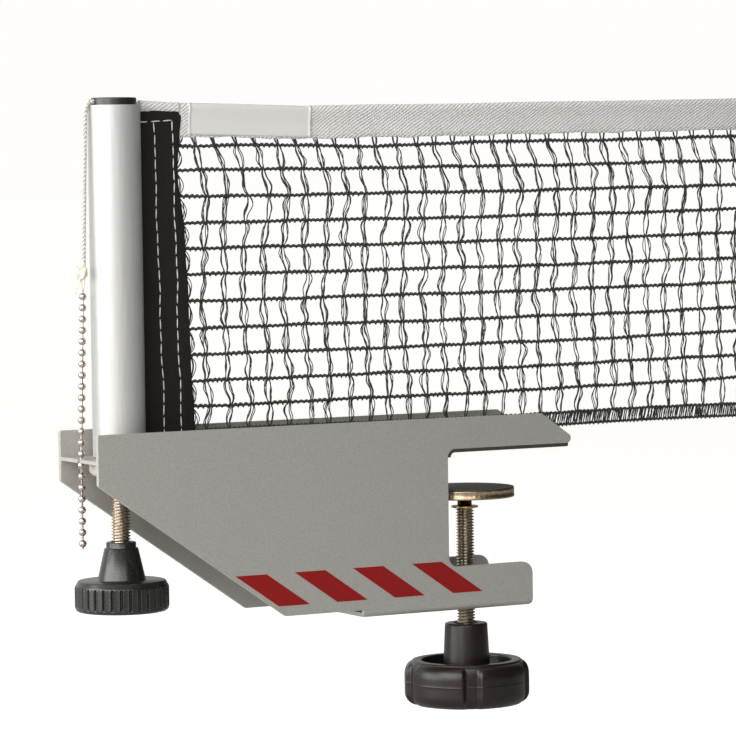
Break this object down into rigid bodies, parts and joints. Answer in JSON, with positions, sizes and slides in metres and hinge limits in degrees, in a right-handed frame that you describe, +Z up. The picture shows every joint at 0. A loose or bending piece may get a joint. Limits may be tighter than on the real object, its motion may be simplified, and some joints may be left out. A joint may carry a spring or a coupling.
{
  "type": "table tennis net clamp",
  "caption": "Screw clamp that grips a table's edge and carries a height-adjustable slotted post with the first stretch of a table tennis net, its tension cord and bead chain.",
  "frame": {"origin": "the clamp screw's axis where it meets the face that rests on the table (underside of the seat rubber)", "axes": "+X from the post towards the middle of the table, along the net; +Y square to the net; +Z up"},
  "size_m": [0.3385, 0.0538, 0.2607],
  "materials": {
    "silver_paint": "satin silver-grey powder coat",
    "seat_rubber": "thin black rubber strip",
    "bush_plastic": "light grey moulded plastic",
    "post_aluminium": "satin silver-anodised",
    "cap_plastic": "black moulded plastic",
    "plug_plastic": "black moulded plastic, inside the tube",
    "rod_steel": "plain drawn steel",
    "zinc_steel": "yellowish zinc-plated steel",
    "knob_plastic": "black moulded plastic, faint satin grain",
    "clip_steel": "yellow-passivated spring steel",
    "band_cloth": "black woven cloth, white stitching",
    "tape_cloth": "white woven tape",
    "cord_yarn": "white twisted cord",
    "label_cloth": "white coated cloth, left bare",
    "mesh_yarn": "dark green knotless mesh",
    "chain_nickel": "nickel-plated bead chain"
  },
  "bodies": {
    "bracket": {"bracket_shell": "silver_paint", "seat_plate": "silver_paint", "seat_rubber": "seat_rubber", "guide_bush": "bush_plastic", "clamp_nut": "zinc_steel", "bead_chain": "chain_nickel", "cord_knot": "cord_yarn"},
    "post": {"post_tube": "post_aluminium", "post_plug": "plug_plastic", "post_cap": "cap_plastic", "net_rod": "rod_steel", "net_band": "band_cloth", "net_tape": "tape_cloth", "tape_cord": "cord_yarn", "net_label": "label_cloth", "net_mesh": "mesh_yarn", "tension_cord": "cord_yarn"},
    "height_drive": {"height_screw": "zinc_steel", "height_knob": "knob_plastic"},
    "pad": {"pad_cup": "zinc_steel", "pad_rubber": "seat_rubber"},
    "clamp_drive": {"clamp_screw": "zinc_steel", "star_knob": "knob_plastic", "screw_clip": "clip_steel"},
    "chain_end": {"chain_tail": "chain_nickel"}
  },
  "joints": [
    {"name": "post_lift", "type": "slide", "parent": "bracket", "child": "post", "axis": [0, 0, 1], "range_m": [0, 0.011]},
    {"name": "height_turn", "type": "hinge", "parent": "post", "child": "height_drive", "pos_m": [-0.1634, 0, 0], "axis": [0, 0, 1], "range_deg": [0, 3168.1]},
    {"name": "clamp_travel", "type": "slide", "parent": "bracket", "child": "pad", "axis": [0, 0, 1], "range_m": [-0.025, 0.0075]},
    {"name": "clamp_turn", "type": "hinge", "parent": "pad", "child": "clamp_drive", "pos_m": [0, 0, 0], "axis": [0, 0, 1], "range_deg": [-7200.1, 2160.1]},
    {"name": "chain_swing", "type": "hinge", "parent": "bracket", "child": "chain_end", "pos_m": [-0.1806, 0, 0.00161], "axis": [0, 1, 0], "range_deg": [-8, 60]}
  ],
  "couplings": [
    {"joint": "height_turn", "follows": "post_lift", "rad_per_m": 5026.5},
    {"joint": "clamp_turn", "follows": "clamp_travel", "rad_per_m": 5026.5}
  ]
}
